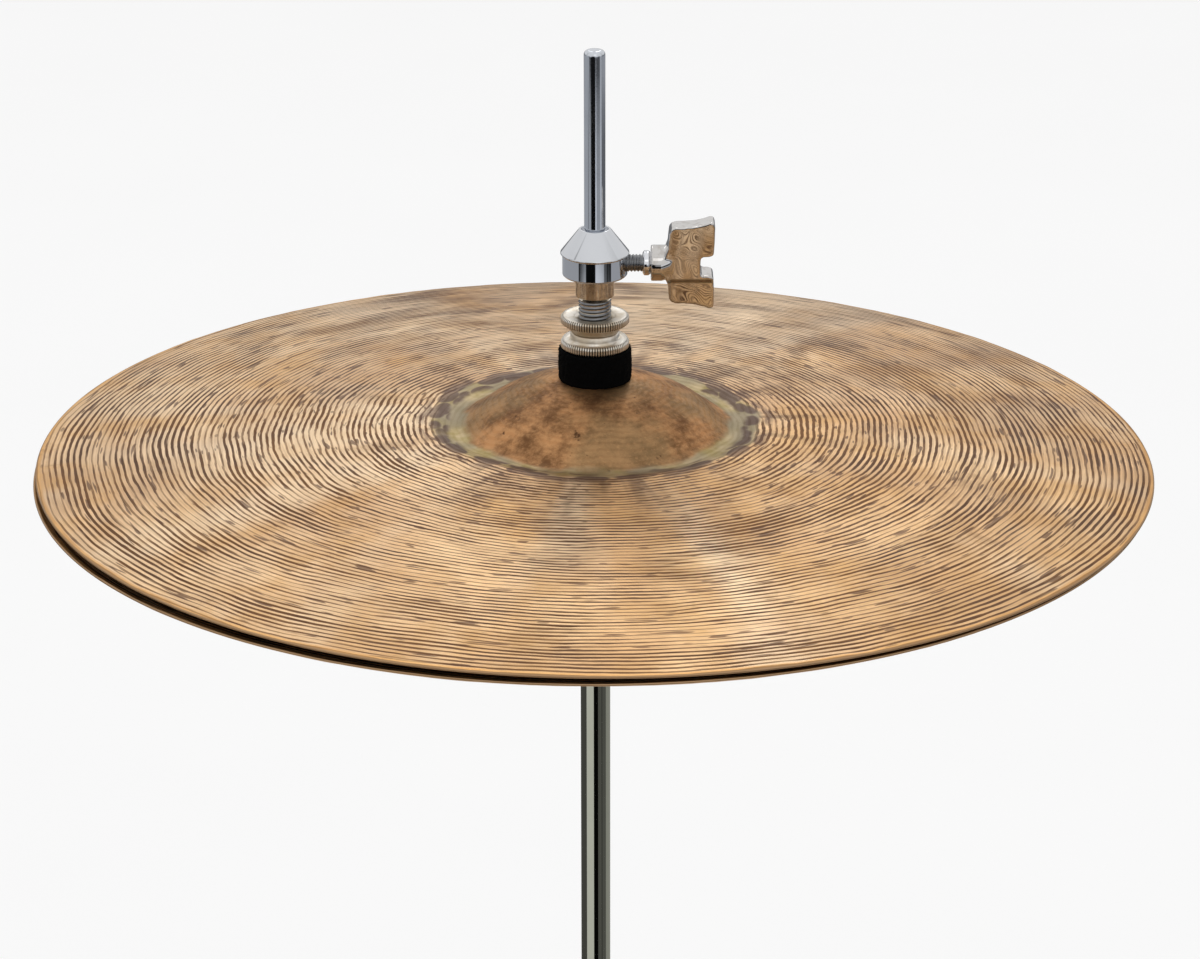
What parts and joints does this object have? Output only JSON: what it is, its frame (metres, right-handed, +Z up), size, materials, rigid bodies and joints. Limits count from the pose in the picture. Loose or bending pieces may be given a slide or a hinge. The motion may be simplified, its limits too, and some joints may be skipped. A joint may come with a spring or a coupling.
{
  "type": "hi hat",
  "caption": "Hi hat: a closed pair of lathed bronze cymbals, held by a clutch on a pull rod above a foot pedal stand with folding legs.",
  "frame": {"origin": "on the floor under the pull rod's axis, on the base plate's underside", "axes": "+Z up along the pull rod, -Y towards the player's heel on the pedal, +X along the clutch's wing bolt"},
  "size_m": [0.5564, 0.6221, 0.983],
  "materials": {
    "bronze": "hand-lathed bronze with brown patina, unlathed bell",
    "chrome": "polished chrome plate",
    "polished_steel": "polished steel",
    "satin_nickel": "satin nickel plate",
    "spring_steel": "oiled spring steel",
    "black_steel": "black powder coat",
    "cast_alloy": "cast and tumbled aluminium",
    "black_felt": "dense black wool felt",
    "grey_felt": "dense grey wool felt",
    "black_plastic": "moulded black nylon",
    "black_rubber": "moulded black rubber"
  },
  "bodies": {
    "stand": {"lower_tube": "chrome", "tube_bushing": "black_plastic", "height_clamp": "chrome", "height_clamp_nut": "satin_nickel", "height_clamp_screw": "satin_nickel", "spring_seat": "satin_nickel", "return_spring": "spring_steel", "pedal_frame": "cast_alloy", "frame_bolts": "satin_nickel", "base_plate": "black_steel", "leg_hub": "chrome", "leg_hinge_pins": "satin_nickel", "heel_plate": "cast_alloy", "heel_pin": "satin_nickel", "heel_bolts": "satin_nickel"},
    "height_wing": {"height_clamp_wing": "chrome"},
    "mast": {"upper_tube": "polished_steel", "memory_lock": "chrome", "memory_lock_screw": "satin_nickel", "tilter_base": "chrome", "tilter_pin": "satin_nickel"},
    "tilt_screw": {"tilter_screw": "satin_nickel"},
    "seat": {"seat_cup": "chrome", "seat_sleeve": "black_plastic", "seat_felt": "grey_felt"},
    "lower_cymbal": {"bottom_cymbal": "bronze"},
    "pedal": {"footboard": "cast_alloy", "toe_pin": "satin_nickel"},
    "rod": {"pull_rod": "polished_steel", "rod_coupler": "satin_nickel", "lower_rod": "polished_steel", "rod_clevis": "satin_nickel", "link_upper_pin": "satin_nickel", "spring_retainer": "satin_nickel"},
    "link": {"pull_link": "black_steel"},
    "clutch": {"clutch_body": "chrome", "clutch_bottom_nut": "chrome", "bottom_nut_set_screw": "satin_nickel"},
    "clutch_wing_bolt": {"clutch_wing_screw": "satin_nickel", "clutch_wing": "chrome"},
    "lock_nut": {"clutch_lock_nut": "satin_nickel"},
    "felt_nut": {"clutch_felt_nut": "satin_nickel"},
    "felts": {"upper_felt": "black_felt", "lower_felt": "black_felt"},
    "upper_cymbal": {"top_cymbal": "bronze"},
    "spur_a": {"spur_left": "satin_nickel"},
    "spur_b": {"spur_right": "satin_nickel"},
    "folding_leg_back": {"leg_back": "chrome", "foot_back": "black_rubber"},
    "folding_leg_left": {"leg_left": "chrome", "foot_left": "black_rubber"},
    "folding_leg_right": {"leg_right": "chrome", "foot_right": "black_rubber"}
  },
  "joints": [
    {"name": "pedal_hinge", "type": "hinge", "parent": "stand", "child": "pedal", "pos_m": [0, -0.235, 0.018], "axis": [1, 0, 0], "range_deg": [0, 8.5]},
    {"name": "rod_slide", "type": "slide", "parent": "stand", "child": "rod", "axis": [0, 0, 1], "range_m": [0, 0.0345], "deforming": ["return_spring"]},
    {"name": "link_swing", "type": "hinge", "parent": "rod", "child": "link", "pos_m": [0, 0, 0.085], "axis": [1, 0, 0], "range_deg": [-9, 0]},
    {"name": "clutch_slide", "type": "slide", "parent": "rod", "child": "clutch", "axis": [0, 0, 1], "range_m": [0, 0.03]},
    {"name": "clutch_wing_turn", "type": "hinge", "parent": "clutch", "child": "clutch_wing_bolt", "pos_m": [0.02, 0, 0.914], "axis": [1, 0, 0], "continuous": true},
    {"name": "lock_nut_turn", "type": "hinge", "parent": "clutch", "child": "lock_nut", "pos_m": [0, 0, 0.894], "axis": [0, 0, 1], "continuous": true},
    {"name": "felt_nut_turn", "type": "hinge", "parent": "clutch", "child": "felt_nut", "pos_m": [0, 0, 0.888], "axis": [0, 0, 1], "continuous": true},
    {"name": "top_rock", "type": "hinge", "parent": "clutch", "child": "felts", "pos_m": [0, 0, 0.876], "axis": [0, -1, 0], "range_deg": [0, 0.3]},
    {"name": "top_spin", "type": "hinge", "parent": "felts", "child": "upper_cymbal", "pos_m": [0, 0, 0.85], "axis": [0.0087, 0.0079, 0.9999], "continuous": true},
    {"name": "mast_slide", "type": "slide", "parent": "stand", "child": "mast", "axis": [0, 0, 1], "range_m": [-0.06, 0]},
    {"name": "seat_tilt", "type": "hinge", "parent": "mast", "child": "seat", "pos_m": [0.017, 0, 0.795], "axis": [0, 1, 0], "range_deg": [0, 0.3]},
    {"name": "tilt_screw_turn", "type": "hinge", "parent": "mast", "child": "tilt_screw", "pos_m": [-0.015, 0, 0.79], "axis": [0, 0, 1], "range_deg": [0, 90]},
    {"name": "bottom_spin", "type": "hinge", "parent": "seat", "child": "lower_cymbal", "pos_m": [-0.0008, 0, 0.84685], "axis": [0.0035, 0.0079, 1], "continuous": true},
    {"name": "height_wing_turn", "type": "hinge", "parent": "stand", "child": "height_wing", "pos_m": [0.021, 0.015, 0.538], "axis": [0, 1, 0], "continuous": true},
    {"name": "spur_a_turn", "type": "hinge", "parent": "stand", "child": "spur_a", "pos_m": [-0.044, 0.034, 0.01], "axis": [0, 0, 1], "continuous": true},
    {"name": "spur_b_turn", "type": "hinge", "parent": "stand", "child": "spur_b", "pos_m": [0.044, 0.034, 0.01], "axis": [0, 0, 1], "continuous": true},
    {"name": "leg_back_fold", "type": "hinge", "parent": "stand", "child": "folding_leg_back", "pos_m": [0, 0.034, 0.152], "axis": [1, 0, 0], "range_deg": [0, 113]},
    {"name": "leg_left_fold", "type": "hinge", "parent": "stand", "child": "folding_leg_left", "pos_m": [-0.02944, -0.017, 0.152], "axis": [-0.5, 0.866, 0], "range_deg": [0, 113]},
    {"name": "leg_right_fold", "type": "hinge", "parent": "stand", "child": "folding_leg_right", "pos_m": [0.02944, -0.017, 0.152], "axis": [-0.5, -0.866, 0], "range_deg": [0, 113]}
  ],
  "couplings": [
    {"joint": "rod_slide", "follows": "pedal_hinge", "m_per_rad": 0.2285},
    {"joint": "link_swing", "follows": "pedal_hinge", "ratio": -1.015},
    {"joint": "tilt_screw_turn", "follows": "seat_tilt", "ratio": 300}
  ]
}
